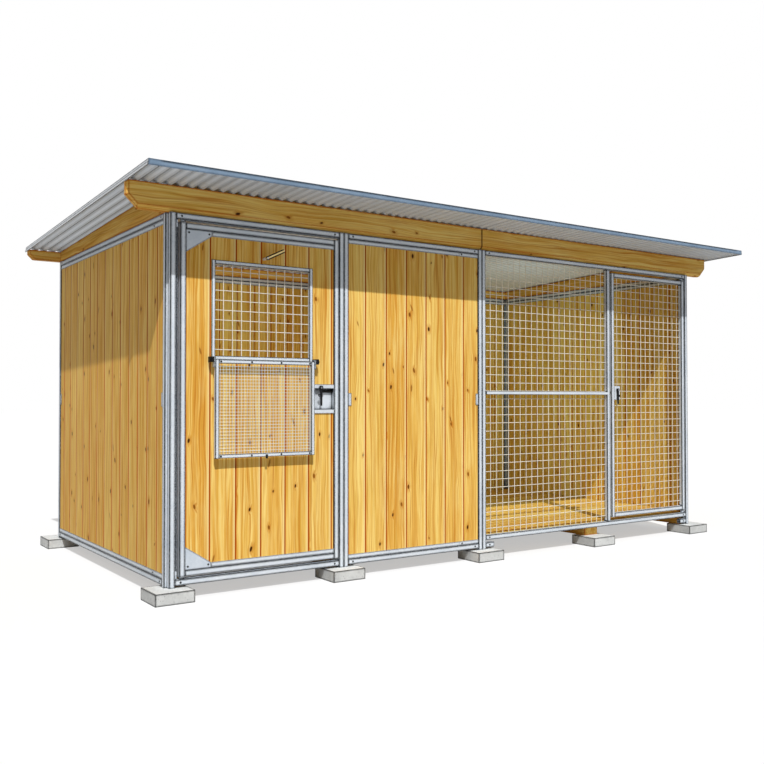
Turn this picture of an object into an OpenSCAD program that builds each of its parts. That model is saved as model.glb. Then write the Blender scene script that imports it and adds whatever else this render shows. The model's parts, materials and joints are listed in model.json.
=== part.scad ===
/* [Run] */
// Height of the wall frames above the pads
frame_h = 1840; // [1780:10:2200]
// Depth of the run over its frames
run_d = 2000; // [1500:10:2600]
// Width of each boarded front bay
bay_w = 1000; // [950:10:1200]
// Width of the front mesh bay
mesh_bay_w = 2000; // [1800:10:2600]
// Side of the square frame tube
tube = 30; // [28:1:36]
// Wall of the square tubes
tube_wall = 2; // [1.5:0.1:3]
// Flat on each corner of the square tubes
tube_corner = 2; // [1:0.1:2.5]
// Height of the bottom rails above the pads
rail_lift = 10; // [4:1:20]
// How far the side walls stand out past the ends of the front and rear frames
side_step = 15; // [0:1:25]

/* [Pads] */
// Side of a concrete pad
pad_w = 200; // [150:5:260]
// Thickness of a concrete pad
pad_h = 60; // [40:5:100]

/* [Boards] */
// Cover width of a wall board
board_cover = 142; // [110:1:180]
// Least width of the outer boards of a panel
edge_board_w = 85; // [40:1:110]
// Thickness of the wall boards
board_t = 20; // [16:1:22]
// Depth of the V cut along each board edge
v_cut = 4; // [2:0.5:5]
// Length of a board's tongue
tongue_l = 7; // [5:0.5:9]
// Thickness of a board's tongue
tongue_t = 6; // [5:0.5:7]
// Play between tongue and groove
tongue_play = 0.5; // [0.2:0.1:0.8]
// Height of the channels that hold the board ends
channel_h = 25; // [18:1:35]
// Wall of the board channels
channel_wall = 2; // [1:0.1:2.5]
// Length of the loose end piece of each channel
channel_end = 150; // [100:5:200]

/* [Board clips] */
// Height of a clip's lower edge above the pads
clip_z = 885; // [600:5:1200]
// Length of a clip
clip_h = 70; // [40:1:100]
// Width of a clip
clip_w = 20; // [12:1:30]

/* [Service door] */
// Gap between post and leaf on the hinge side
hinge_gap = 22; // [21:0.5:30]
// Gap between leaf and post on the lock side
lock_gap = 3; // [3:0.5:8]
// Gap under the leaf
leaf_gap_bottom = 12; // [10:1:25]
// Gap over the leaf
leaf_gap_top = 15; // [10:1:25]
// Sideways shift of the leaf's board joints
leaf_joint_shift = -14; // [-40:1:40]
// Length of a corner gusset
gusset_w = 138; // [100:1:180]
// Height of a corner gusset at the hinge stile
gusset_h = 114; // [80:1:150]
// Distance of a gusset's screws from its ends
gusset_screw_in = 15; // [8:1:30]
// Distance of a gusset's screws from the rail
gusset_screw_z = 16; // [8:1:18]
// Height of the stop strips over and under the leaf
stop_h = 6; // [3:0.5:8]
// Depth of the stop strips
stop_t = 16; // [10:1:20]
// Thickness of sheet fittings
sheet = 3; // [2:0.5:4]
// Width of the filler strip beside the hinge stile
filler_w = 14; // [8:1:14]
// Thickness of the filler strip
filler_t = 14; // [8:1:18]
// Height of the round feet of the filler strip
filler_foot = 18; // [10:1:30]
// Length of the plain ends of the filler strip
filler_end = 25; // [15:1:60]
// Width of the slot in the filler strip
slot_w = 4; // [2:0.5:6]
// Depth of the slot in the filler strip
slot_depth = 5; // [2:0.5:7]

/* [Window] */
// Width of the window frame
window_w = 584; // [500:1:600]
// Height of the window frame
window_h = 504; // [400:1:560]
// Distance of the window frame below the top of the leaf
window_drop = 170; // [120:1:220]
// Side of the window and flap tubes
slim = 20; // [16:1:22]

/* [Flap] */
// Height of the flap
flap_h = 496; // [400:1:500]
// How much narrower the flap is than the window at each end
flap_inset = 7; // [4:1:15]
// Gap between the flap and the door face
flap_gap = 14; // [12:1:25]
// Diameter of the flap's hinge pins
flap_pin_d = 8; // [6:0.5:10]
// Thickness of a flap ear
ear_t = 8; // [5:1:12]
// Width of a hinge bracket
bracket_w = 15; // [10:1:25]
// How far a hinge bracket stands past the flap's front, top and bottom
bracket_rim = 4; // [2:1:8]
// Thickness of the round cap on a hinge bracket
bracket_cap = 6; // [3:1:10]
// Screws on each rail of the flap
flap_screw_n = 4; // [2:1:6]
// Distance of the outer flap screws from the flap's ends
flap_screw_in = 30; // [20:1:60]
// Width of the flap's keeper tab
flap_tab_w = 12; // [8:1:20]
// How far the keeper tab hangs below the flap
flap_tab_drop = 8; // [4:1:15]

/* [Turn button] */
// Height of the pivot above the window
button_lift = 26; // [20:1:40]
// Length of the bar
button_l = 120; // [90:1:140]
// Width of the bar
button_w = 20; // [14:1:26]
// Thickness of the bar
button_t = 6; // [4:1:10]
// Angle of the bar at rest, above level
button_angle = 26; // [0:1:60]
// Diameter of the pivot screw
button_pin_d = 6; // [5:0.5:8]
// Diameter of the pivot screw's head
button_head_d = 12; // [10:0.5:16]
// Thickness of the pivot screw's head
button_head_t = 3; // [2:0.5:5]
// Diameter of the stand-off behind the bar
button_post_d = 14; // [10:1:18]
// Gap between the bar and the front of the flap
button_clear = 2; // [1:0.5:5]

/* [Locks] */
// Height of the service lock box
lock_h = 158; // [140:1:190]
// Distance of the service lock box below the window frame
lock_drop = 119; // [40:1:200]
// Height of the lock box's top and bottom flanges
lock_flange = 23; // [15:1:30]
// Depth of the service lock box
lock_depth = 25; // [22:1:28]
// Gap between the window frame and the lock box
lock_side_gap = 4; // [1:0.5:20]
// Distance of the service lever's pin from the box's left side
lever_inset = 46; // [30:1:60]
// Height of the lever pins above the lower edge of the box's top flange
lever_rise = 5; // [4:1:12]
// Gap between a lever and the face behind it
lever_gap = 3; // [2:0.5:6]
// Length of a lever
lever_l = 98; // [70:1:110]
// Thickness of a lever
lever_t = 6; // [4:1:10]
// Width of a lever under its hub
lever_top_w = 14; // [10:1:20]
// Width of a lever at its tip
lever_tip_w = 9; // [6:1:14]
// Diameter of a lever's hub
lever_hub_d = 22; // [16:1:28]
// Diameter of a lever's pin
lever_pin_d = 6; // [5:0.5:9]
// Diameter of the cap on a lever's pin
lever_cap_d = 11; // [10:0.5:15]
// Thickness of the cap on a lever's pin
lever_cap_t = 2; // [1:0.5:4]
// Diameter of the padlock eye on a lever
eye_d = 16; // [12:1:20]
// Bore of the padlock eye
eye_bore = 7; // [5:0.5:9]
// Distance of the padlock eye below the lever's pin
eye_drop = 41; // [30:1:60]
// Diameter of the bolts
bolt_d = 12; // [8:1:14]
// Distance of the bolts' axis below the top of the service lock box
bolt_drop = 38; // [32:1:60]
// How far a drawn bolt lies inside the edge of its leaf
bolt_back = 1; // [0.5:0.5:3]
// Distance of the service bolt's driver stud from the bolt's inner end
stud_in = 8; // [6:1:14]
// Diameter of the driver stud
stud_d = 6; // [4:1:8]
// Travel of the service bolt
service_throw = 18; // [12:1:22]
// Travel of the run bolt
run_throw = 28; // [26:1:32]
// Wall of the keepers in the posts
keeper_wall = 2.5; // [2:0.5:4]
// Width of the keepers' rim
keeper_rim = 4; // [2:0.5:6]
// Thickness of the keepers' rim
keeper_rim_t = 1.4; // [1:0.1:1.6]
// Width of the run lock case
case_w = 60; // [50:1:80]
// Height of the run lock case
case_h = 98; // [90:1:120]
// Thickness of the run lock case
case_t = 24; // [20:1:26]

/* [Run door] */
// Width of the run door leaf
run_leaf_w = 790; // [700:5:900]
// Gap between leaf and middle post on the lock side
run_lock_gap = 15; // [10:1:20]
// Gap between leaf and post on the hinge side
run_hinge_gap = 10; // [9:1:20]
// Gap under the leaf
run_gap_bottom = 23; // [10:1:30]
// Gap over the leaf
run_gap_top = 18; // [10:1:25]

/* [Weld mesh] */
// Pitch of the weld mesh
mesh_pitch = 50; // [40:1:100]
// Wire diameter of the weld mesh
wire_d = 4; // [3:0.5:5]
// Pitch of the flap's fine mesh
fine_pitch = 16.5; // [14:0.5:30]
// Wire diameter of the fine mesh
fine_d = 2; // [1:0.1:2.5]
// Height of the mesh bay's bottom rail above the pads
mesh_rail_lift = 55; // [45:1:80]
// Height of the middle rail's lower edge above the pads
mid_rail_z = 950; // [800:5:1100]
// Length of a foot bracket
foot_l = 65; // [40:1:90]

/* [Partition] */
// Width of the dog's doorway
dog_door_w = 400; // [300:5:600]
// Height of the dog's doorway
dog_door_h = 600; // [450:5:750]
// Distance of the doorway from the partition's front end
dog_door_y = 500; // [300:5:800]

/* [Floor] */
// Width of a joist
joist_w = 60; // [45:1:80]
// Height of a joist
joist_h = 70; // [50:1:100]
// Thickness of the deck boards
deck_t = 25; // [18:1:35]
// Deck boards in one floor panel
deck_n = 7; // [5:1:14]
// Gap between deck boards
deck_gap = 3; // [1:0.5:6]
// Gap between the floor and the turning edge of the service door
floor_gap = 2; // [1:0.5:10]

/* [Roof] */
// Height of the front beam
front_beam_h = 130; // [110:1:160]
// Height of the rear beam
rear_beam_h = 62; // [50:1:90]
// Thickness of the beams and tapered timbers
beam_t = 45; // [35:1:60]
// Chamfer along the lower front edge of the front beam
beam_chamfer = 20; // [10:1:30]
// Size of the cut on each lower beam end
beam_end_cut = 60; // [30:1:80]
// Chamfer round the front face of each beam end
beam_end_chamfer = 12; // [4:1:20]
// Roof overhang at each end
roof_side = 205; // [100:5:250]
// Roof overhang at the front
roof_front = 305; // [150:5:400]
// Roof overhang at the rear
roof_rear = 20; // [5:5:100]
// Pitch of the corrugation
wave_pitch = 55.5; // [45:0.5:80]
// Depth of the corrugation
wave_h = 18; // [12:1:25]
// Thickness of the roof sheets
roof_t = 1; // [0.8:0.1:1.5]
// Roof sheets side by side
sheet_n = 4; // [3:1:6]
// Height of the flashing faces
flashing_h = 30; // [24:1:40]
// Width of the flashing top flanges
flashing_w = 60; // [40:5:90]
// Thickness of the flashings
flashing_t = 1.5; // [1:0.1:2]
// Height of the folded lip along a verge flashing's lower edge
verge_lip = 14; // [8:1:20]
// How far the folded lip stands out
verge_step = 4; // [2:0.5:8]

/* [Fasteners and pivots] */
// Diameter of a screw head
screw_d = 10; // [7:0.5:14]
// Height of a screw head
screw_h = 2.5; // [1.5:0.5:4]
// Distance of a rail screw from the post
screw_in = 29; // [15:1:35]
// Distance of a channel screw from the joint of its end piece
channel_screw_in = 20; // [10:1:40]
// Diameter of the door pivot pins
pivot_d = 12; // [10:1:14]
// Wall of the bushes round the door pivots
bush_wall = 5; // [3:0.5:7]
// Thickness of the plugs in the ends of the hinge stiles
plug_t = 4; // [3:0.5:6]
// Radial clearance of turning and sliding pins
pin_play = 0.05; // [0.03:0.01:0.08]
// Gap between a moving face and the face beside it
face_play = 0.5; // [0.4:0.1:0.8]
// Gap at butt joints between pieces that don't move
fit = 0.2; // [0.1:0.1:0.5]

/* [Hidden] */
$fn = 24;
// Overrun of cuts through a face and of pieces that join
over = 1;
run_l = 2 * side_step + 2 * bay_w + mesh_bay_w;
side_l = run_d - 2 * tube;
// Front and rear edge of the whole object, which the roof and the pads set
plan_front = -roof_front - flashing_t;
plan_rear = max(run_d + roof_rear, run_d - tube / 2 + pad_w / 2);
plan_mid_y = (plan_front + plan_rear) / 2;
// Thickness in which boards and channels sit, measured from the outer face
board_y = (tube - board_t) / 2;
channel_y = board_y - channel_wall;
wire_y = tube / 2 - wire_d;
floor_h = joist_h + deck_t;
// Front bays, from their left ends
panel_bay_x = side_step + bay_w;
mesh_bay_x = side_step + 2 * bay_w;
// Service door leaf
leaf_x = side_step + tube + hinge_gap;
leaf_w = bay_w - 2 * tube - hinge_gap - lock_gap;
leaf_z = rail_lift + tube + leaf_gap_bottom;
leaf_h = frame_h - tube - leaf_gap_top - leaf_z;
leaf_mid_x = leaf_x + leaf_w / 2;
leaf_end_x = leaf_x + leaf_w;
service_pivot_x = leaf_x + tube / 2;
pivot_y = tube / 2;
// Window, flap and turn button
window_x = leaf_mid_x - window_w / 2;
window_z = leaf_z + leaf_h - window_drop - window_h;
flap_x = window_x + flap_inset;
flap_w = window_w - 2 * flap_inset;
flap_y = -flap_gap - slim;
flap_axis_y = flap_y + slim / 2;
button_z = window_z + window_h + button_lift;
button_y = flap_y - button_clear - button_t;
// Service lock: the box fills the space between window and stile
lock_x = window_x + window_w + lock_side_gap;
lock_w = leaf_end_x - tube - lock_x;
lock_z = window_z - lock_drop - lock_h;
service_lever_x = lock_x + lever_inset;
service_lever_z = lock_z + lock_h - lock_flange + lever_rise;
bolt_z = lock_z + lock_h - bolt_drop;
// Run door leaf
run_leaf_x = mesh_bay_x + mesh_bay_w - tube - run_hinge_gap - run_leaf_w;
run_leaf_z = mesh_rail_lift + tube + run_gap_bottom;
run_leaf_h = frame_h - tube - run_gap_top - run_leaf_z;
run_pivot_x = run_leaf_x + run_leaf_w - tube / 2;
mid_post_x = run_leaf_x - run_lock_gap - tube;
case_x = run_leaf_x + tube;
case_z = bolt_z - case_h / 2;
case_y = (tube - case_t) / 2;
run_lever_x = case_x + case_w / 2;
run_lever_z = service_lever_z;
// Bolt keepers, as deep as the thrown bolts reach into the posts
keeper_d = bolt_d + 2 * keeper_wall;
service_keeper_l = service_throw - lock_gap;
run_keeper_l = run_throw - run_lock_gap;
// Partition over the joint between boarded bays and mesh bay
partition_x = mesh_bay_x - tube / 2;
partition_l = side_l;
partition_h = frame_h - floor_h;
// Floor panels are one boarded bay wide on the left and half a mesh bay wide on the right
panel_ends = [tube, panel_bay_x, mesh_bay_x, mesh_bay_x + mesh_bay_w / 2, run_l - tube];
// Pads under the corners, the lock post, the joint of the boarded bays and the middle of the mesh bay
pad_xs = [
    tube / 2, panel_bay_x - tube / 2, mesh_bay_x, mesh_bay_x + mesh_bay_w / 2, run_l - tube / 2
];
floor_y = pivot_y + tube / sqrt(2) + floor_gap;
floor_d = run_d - 2 * floor_y;
// Roof slope, falling to the rear
slope = (front_beam_h - rear_beam_h) / run_d;
roof_angle = atan(slope);
roof_w = run_l + 2 * roof_side;
waves = sheet_n * round(roof_w / wave_pitch / sheet_n);
wave_w = roof_w / waves;
steps = 6;
roof_run = (roof_front + run_d + roof_rear) / cos(roof_angle);

PINE = "#dba544";
PINE_DARK = "#c08a35";
ZINC = "#c9d3dc";
ROOF = "#aeb4ba";
BLUE_GREY = "#7f95ad";
CONCRETE = "#d6d6d3";
BLACK = "#1c1c1e";
YELLOW_ZINC = "#b9a45a";

// Number of inner board joints on a width, and the place of each board edge
function joint_n(w) = floor((w - 2 * edge_board_w) / board_cover) + 1;
function board_edge(w, i, shift = 0) =
    i == 0 ? 0 :
    i > joint_n(w) ? w :
    (w - (joint_n(w) - 1) * board_cover) / 2 + (i - 1) * board_cover + shift;

// First wire and number of wires of a mesh on a width
function wire_n(w, pitch) = floor(w / pitch);
function wire_start(w, pitch) = (w - (wire_n(w, pitch) - 1) * pitch) / 2;

// Height of the roof plane above the frames
function roof_z(y) = front_beam_h - slope * y;

// Puts the run with its middle over the origin and its pads on the ground
module placed() {
    translate([-run_l / 2, -plan_mid_y, pad_h]) children();
}

// Places of the wall panels, which are drawn with their outer face on y = 0; the side walls stand between
// the front and the rear frames
module on_left() {
    translate([0, run_d - tube, 0]) rotate(-90) children();
}

module on_right() {
    translate([run_l, tube, 0]) rotate(90) children();
}

module on_rear(x) {
    translate([x, run_d, 0]) rotate(180) children();
}

module on_partition() {
    translate([partition_x, run_d - tube, floor_h]) rotate(-90) children();
}

// Square tube section
module box_section(side) {
    near = tube_corner;
    far = side - tube_corner;
    difference() {
        polygon([
            [near, 0], [far, 0], [side, near], [side, far], [far, side], [near, side], [0, far], [0, near]
        ]);
        translate([tube_wall, tube_wall]) square(side - 2 * tube_wall);
    }
}

module post(x, y, z, h, side = tube) {
    translate([x, y, z]) linear_extrude(h) box_section(side);
}

// A rail between two faces, with a butt joint gap at each end
module rail(x, y, z, l, side = tube) {
    translate([x + fit, y, z]) rotate([90, 0, 90]) linear_extrude(l - 2 * fit) box_section(side);
}

// Round pin along Y, from y0 to y1
module pin_y(x, z, y0, y1, d) {
    translate([x, y0, z]) rotate([-90, 0, 0]) cylinder(d = d, h = y1 - y0);
}

// Round pin along X, from x0 to x1
module pin_x(y, z, x0, x1, d) {
    translate([x0, y, z]) rotate([0, 90, 0]) cylinder(d = d, h = x1 - x0);
}

// Domed screw head on a face that looks towards -Y
module screw_head(x, y, z) {
    translate([x, y, z]) rotate([90, 0, 0]) {
        cylinder(d = screw_d, h = screw_h / 2);
        translate([0, 0, screw_h / 2]) cylinder(d1 = screw_d, d2 = screw_d / 2, h = screw_h / 2);
    }
}

// Closed frame of two posts and two rails
module tube_frame(w, h, side, lift = 0) {
    post(0, 0, 0, h, side);
    post(w - side, 0, 0, h, side);
    rail(side, 0, lift, w - 2 * side, side);
    rail(side, 0, h - side, w - 2 * side, side);
}

// U section that holds the board ends, open upwards
module channel_section() {
    difference() {
        square([board_t + 2 * channel_wall, channel_h]);
        translate([channel_wall, channel_wall]) square([board_t, channel_h]);
    }
}

module channel(x, z, l) {
    translate([x + fit, channel_y, z]) rotate([90, 0, 90]) linear_extrude(l - 2 * fit) channel_section();
}

// Bottom and top channel of a wall panel, each with a loose end piece
module panel_channels(l, h, lift = rail_lift) {
    inner = l - 2 * tube;
    for (part = [[tube, inner - channel_end], [tube + inner - channel_end, channel_end]]) {
        channel(part[0], lift + tube, part[1]);
        translate([0, 0, h - tube]) mirror([0, 0, 1]) channel(part[0], 0, part[1]);
    }
}

// Section of one board, with V cut edges, groove on the left and tongue on the right
module board_section(w, groove, tongue) {
    difference() {
        union() {
            polygon([
                [0, v_cut], [v_cut, 0], [w - v_cut, 0], [w, v_cut],
                [w, board_t - v_cut], [w - v_cut, board_t], [v_cut, board_t], [0, board_t - v_cut]
            ]);
            if (tongue) translate([w - over, (board_t - tongue_t) / 2]) square([tongue_l + over, tongue_t]);
        }
        if (groove)
            translate([-over, (board_t - tongue_t) / 2 - tongue_play])
                square([tongue_l + tongue_play + over, tongue_t + 2 * tongue_play]);
    }
}

// Row of upright boards over a width, from height z0 to z1
module board_row(x, w, z0, z1, shift = 0) {
    n = joint_n(w);
    for (i = [0 : n]) {
        left = board_edge(w, i, shift);
        right = board_edge(w, i + 1, shift);
        translate([x + left, board_y, z0]) linear_extrude(z1 - z0)
            board_section(right - left - fit, i > 0, i < n);
    }
}

module panel_boards(l, h, lift = rail_lift) {
    board_row(tube, l - 2 * tube, lift + tube + channel_wall, h - tube - channel_wall);
}

// Rail screws of a panel
module panel_screws(l, h, lift = rail_lift) {
    for (x = [tube + screw_in, l - tube - screw_in])
        for (z = [lift + tube / 2, h - tube / 2]) screw_head(x, 0, z);
}

// Screws in the loose end pieces of a panel's channels
module channel_screws(l, h) {
    x = l - tube - channel_end + channel_screw_in;
    for (z = [rail_lift + tube + channel_h / 2, h - tube - channel_h / 2]) screw_head(x, channel_y, z);
}

// Rail and channel screws of a boarded panel
module boarded_screws(l, h) {
    panel_screws(l, h);
    channel_screws(l, h);
}

// Two clips that hold the outer boards of a panel to its posts
module panel_clips(l) {
    for (x = [tube, l - tube - clip_w])
        translate([x, board_y - sheet, clip_z]) cube([clip_w, sheet, clip_h]);
}

// Crossed wires of a mesh panel: uprights in front, cross wires behind
module wires(w, h, pitch, d) {
    for (i = [0 : wire_n(w, pitch) - 1])
        translate([wire_start(w, pitch) + i * pitch, d / 2, 0]) cylinder(d = d, h = h);
    for (i = [0 : wire_n(h, pitch) - 1])
        pin_x(d * 1.5, wire_start(h, pitch) + i * pitch, 0, w, d);
}

module foundation_pads() {
    color(CONCRETE)
        placed()
            for (x = pad_xs)
                for (y = [tube / 2, run_d - tube / 2])
                    translate([x - pad_w / 2, y - pad_w / 2, -pad_h]) cube([pad_w, pad_w, pad_h]);
}

module left_wall_frame() {
    color(ZINC) placed() on_left() tube_frame(side_l, frame_h, tube, rail_lift);
}

module left_wall_channels() {
    color(ZINC) placed() on_left() panel_channels(side_l, frame_h);
}

module left_wall_boards() {
    color(PINE) placed() on_left() panel_boards(side_l, frame_h);
}

module right_wall_frame() {
    color(ZINC) placed() on_right() tube_frame(side_l, frame_h, tube, rail_lift);
}

module right_wall_channels() {
    color(ZINC) placed() on_right() panel_channels(side_l, frame_h);
}

module right_wall_boards() {
    color(PINE) placed() on_right() panel_boards(side_l, frame_h);
}

// The rear wall has one panel behind the boarded bays and one behind the mesh bay
module on_rear_panels() {
    on_rear(run_l - side_step) {
        $panel_l = mesh_bay_w - fit;
        children();
    }
    on_rear(mesh_bay_x) {
        $panel_l = 2 * bay_w;
        children();
    }
}

module rear_wall_frame() {
    color(ZINC) placed() on_rear_panels() tube_frame($panel_l, frame_h, tube, rail_lift);
}

module rear_wall_channels() {
    color(ZINC) placed() on_rear_panels() panel_channels($panel_l, frame_h);
}

module rear_wall_boards() {
    color(PINE) placed() on_rear_panels() panel_boards($panel_l, frame_h);
}

// The dog's doorway starts on the partition's bottom rail, measured from the front end
module doorway_hole() {
    translate([
        partition_l - dog_door_y - dog_door_w - slim, -tube, -over
    ]) cube([dog_door_w + 2 * slim, 3 * tube, tube + dog_door_h + slim + over]);
}

module partition_frame() {
    color(ZINC) placed() on_partition() {
        post(0, 0, 0, partition_h);
        post(partition_l - tube, 0, 0, partition_h);
        rail(tube, 0, partition_h - tube, partition_l - 2 * tube);
        difference() {
            rail(tube, 0, 0, partition_l - 2 * tube);
            doorway_hole();
        }
    }
}

module partition_channels() {
    color(ZINC) placed() on_partition() difference() {
        panel_channels(partition_l, partition_h, 0);
        doorway_hole();
    }
}

module partition_boards() {
    color(PINE) placed() on_partition() difference() {
        panel_boards(partition_l, partition_h, 0);
        doorway_hole();
    }
}

module dog_doorway_frame() {
    x = partition_l - dog_door_y - dog_door_w - slim;
    y = (tube - slim) / 2;
    color(ZINC) placed() on_partition() {
        post(x, y, 0, tube + dog_door_h - fit, slim);
        post(x + slim + dog_door_w, y, 0, tube + dog_door_h - fit, slim);
        rail(x, y, tube + dog_door_h, dog_door_w + 2 * slim, slim);
    }
}

// Bore for a bolt through an upright tube
module bolt_bore(x, d) {
    pin_x(pivot_y, bolt_z, x - over, x + tube + over, d);
}

module service_bay_frame() {
    color(ZINC) placed() translate([side_step, 0, 0]) difference() {
        tube_frame(bay_w, frame_h, tube, rail_lift);
        pin_x(pivot_y, bolt_z, bay_w - tube - over, bay_w - tube + service_keeper_l + fit, keeper_d + fit);
    }
}

module hinge_filler_strip() {
    color(ZINC) placed()
        translate([side_step + tube + filler_w / 2, pivot_y, rail_lift + tube]) {
            h = frame_h - 2 * tube - rail_lift;
            foot_d = min(filler_w, filler_t);
            for (z = [0, h - filler_foot]) translate([0, 0, z]) cylinder(d = foot_d, h = filler_foot);
            difference() {
                translate([-filler_w / 2, -filler_t / 2, filler_foot])
                    cube([filler_w, filler_t, h - 2 * filler_foot]);
                filler_slot(filler_foot + filler_end, h - filler_foot - filler_end);
            }
        }
}

// Slot with round ends in the strip's front face
module filler_slot(z0, z1) {
    front = -filler_t / 2;
    translate([-slot_w / 2, front - over, z0]) cube([slot_w, slot_depth + over, z1 - z0]);
    for (z = [z0, z1]) pin_y(0, z, front - over, front + slot_depth, slot_w);
}

// Strips over and under the leaf, from the lower pivot bush to the lock post
module door_stop_strips() {
    x = service_pivot_x + pivot_d / 2 + bush_wall + face_play;
    color(ZINC) placed()
        for (z = [rail_lift + tube, frame_h - tube - stop_h])
            translate([x, (tube - stop_t) / 2, z]) cube([panel_bay_x - tube - fit - x, stop_t, stop_h]);
}

module panel_bay_frame() {
    color(ZINC) placed() translate([panel_bay_x, 0, 0]) tube_frame(bay_w, frame_h, tube, rail_lift);
}

module panel_bay_channels() {
    color(ZINC) placed() translate([panel_bay_x, 0, 0]) panel_channels(bay_w, frame_h);
}

module panel_bay_boards() {
    color(PINE) placed() translate([panel_bay_x, 0, 0]) panel_boards(bay_w, frame_h);
}

module mesh_bay_frame() {
    mid_h = frame_h - 2 * tube - mesh_rail_lift;
    color(ZINC) placed() {
        translate([mesh_bay_x, 0, 0]) tube_frame(mesh_bay_w, frame_h, tube, mesh_rail_lift);
        difference() {
            post(mid_post_x, 0, mesh_rail_lift + tube + fit, mid_h - 2 * fit);
            translate([mid_post_x + tube, 0, 0])
                pin_x(pivot_y, bolt_z, -run_keeper_l - fit, over, keeper_d + fit);
        }
        rail(mesh_bay_x + tube, wire_y - slim, mid_rail_z, mid_post_x - mesh_bay_x - tube, slim);
    }
}

module mesh_bay_mesh() {
    color(ZINC) placed()
        translate([mesh_bay_x + tube, wire_y, mesh_rail_lift + tube])
            wires(mid_post_x - mesh_bay_x - tube, frame_h - 2 * tube - mesh_rail_lift, mesh_pitch, wire_d);
}

module foot_brackets() {
    color(ZINC) placed()
        for (x = [mesh_bay_x + tube, mesh_bay_x + mesh_bay_w - tube - foot_l]) rail(x, 0, rail_lift, foot_l);
}

module board_clips() {
    color(ZINC) placed() {
        on_left() panel_clips(side_l);
        on_right() panel_clips(side_l);
        on_rear_panels() panel_clips($panel_l);
        translate([panel_bay_x, 0, 0]) panel_clips(bay_w);
    }
}

module frame_screws() {
    color(BLACK) placed() {
        on_left() boarded_screws(side_l, frame_h);
        on_right() boarded_screws(side_l, frame_h);
        on_rear_panels() boarded_screws($panel_l, frame_h);
        translate([side_step, 0, 0]) panel_screws(bay_w, frame_h);
        translate([panel_bay_x, 0, 0]) boarded_screws(bay_w, frame_h);
        translate([mesh_bay_x, 0, 0]) panel_screws(mesh_bay_w, frame_h, mesh_rail_lift);
        for (x = [mesh_bay_x + tube + screw_in, mesh_bay_x + mesh_bay_w - tube - screw_in])
            screw_head(x, 0, rail_lift + tube / 2);
    }
}

// Collar on a rail that carries a door pivot
module bush(x, z, h) {
    translate([x, pivot_y, z]) difference() {
        cylinder(d = pivot_d + 2 * bush_wall, h = h);
        translate([0, 0, -over]) cylinder(d = pivot_d + 2 * pin_play, h = h + 2 * over);
    }
}

module door_bushes() {
    low = leaf_gap_bottom - plug_t - face_play;
    high = leaf_gap_top - plug_t - face_play;
    run_low = run_gap_bottom - plug_t - face_play;
    run_high = run_gap_top - plug_t - face_play;
    color(ZINC) placed() {
        bush(service_pivot_x, rail_lift + tube, low);
        bush(service_pivot_x, frame_h - tube - high, high);
        bush(run_pivot_x, mesh_rail_lift + tube, run_low);
        bush(run_pivot_x, frame_h - tube - run_high, run_high);
    }
}

// Flanged insert in a post that takes the end of a bolt; it points along +X
module keeper(l) {
    difference() {
        union() {
            pin_x(0, 0, -keeper_rim_t, 0, keeper_d + 2 * keeper_rim);
            pin_x(0, 0, 0, l, keeper_d);
        }
        pin_x(0, 0, -keeper_rim_t - over, l + over, bolt_d + 2 * pin_play);
    }
}

module bolt_keepers() {
    color(BLACK) placed() {
        translate([panel_bay_x - tube, pivot_y, bolt_z]) keeper(service_keeper_l);
        translate([mid_post_x + tube, pivot_y, bolt_z]) mirror([1, 0, 0]) keeper(run_keeper_l);
    }
}

module floor_joists() {
    color(PINE_DARK) placed()
        for (i = [0 : len(panel_ends) - 2])
            for (x = [panel_ends[i], panel_ends[i + 1] - joist_w - fit])
                translate([x, floor_y, 0]) cube([joist_w, floor_d, joist_h]);
}

module floor_deck() {
    pitch = (floor_d + deck_gap) / deck_n;
    color(PINE) placed()
        for (i = [0 : len(panel_ends) - 2])
            for (j = [0 : deck_n - 1])
                translate([panel_ends[i], floor_y + j * pitch, joist_h])
                    cube([panel_ends[i + 1] - panel_ends[i] - fit, pitch - deck_gap, deck_t]);
}

// Side view of a beam with its top on the roof plane
module beam_section(y, chamfer) {
    polygon([
        [y + chamfer, 0], [y + beam_t, 0], [y + beam_t, roof_z(y + beam_t)], [y, roof_z(y)], [y, chamfer]
    ]);
}

// Front view of a beam, with cut lower corners
module beam_outline(cut) {
    low = beam_end_chamfer;
    top = front_beam_h + beam_end_chamfer;
    polygon([
        [-roof_side + cut + low, -low], [run_l + roof_side - cut - low, -low], [run_l + roof_side, cut],
        [run_l + roof_side, top], [-roof_side, top], [-roof_side, cut]
    ]);
}

module beam(y, cut, chamfer, joint) {
    for (part = [[-roof_side, joint - fit], [joint, run_l + roof_side]])
        translate([0, 0, frame_h]) intersection() {
            translate([part[0], 0, 0]) rotate([90, 0, 90])
                linear_extrude(part[1] - part[0]) beam_section(y, chamfer);
            beam_body(y, cut);
        }
}

// Beam seen from the front, with its outline drawn in towards both faces
module beam_body(y, cut) {
    c = beam_end_chamfer;
    translate([0, y + beam_t, 0]) rotate([90, 0, 0]) hull() {
        linear_extrude(beam_t) offset(delta = -c) beam_outline(cut);
        translate([0, 0, c]) linear_extrude(beam_t - 2 * c) beam_outline(cut);
    }
}

module front_beam() {
    color(PINE) placed() beam(0, beam_end_cut, beam_chamfer, mesh_bay_x);
}

module rear_beam() {
    color(PINE) placed() beam(run_d - beam_t, rear_beam_h / 2, 0, mesh_bay_x);
}

module tapered_timbers() {
    y0 = beam_t;
    y1 = run_d - beam_t;
    color(PINE) placed()
        for (x = [0, mesh_bay_x - beam_t / 2, run_l - beam_t])
            translate([x, 0, frame_h]) rotate([90, 0, 90]) linear_extrude(beam_t)
                polygon([[y0, 0], [y1, 0], [y1, roof_z(y1)], [y0, roof_z(y0)]]);
}

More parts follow.
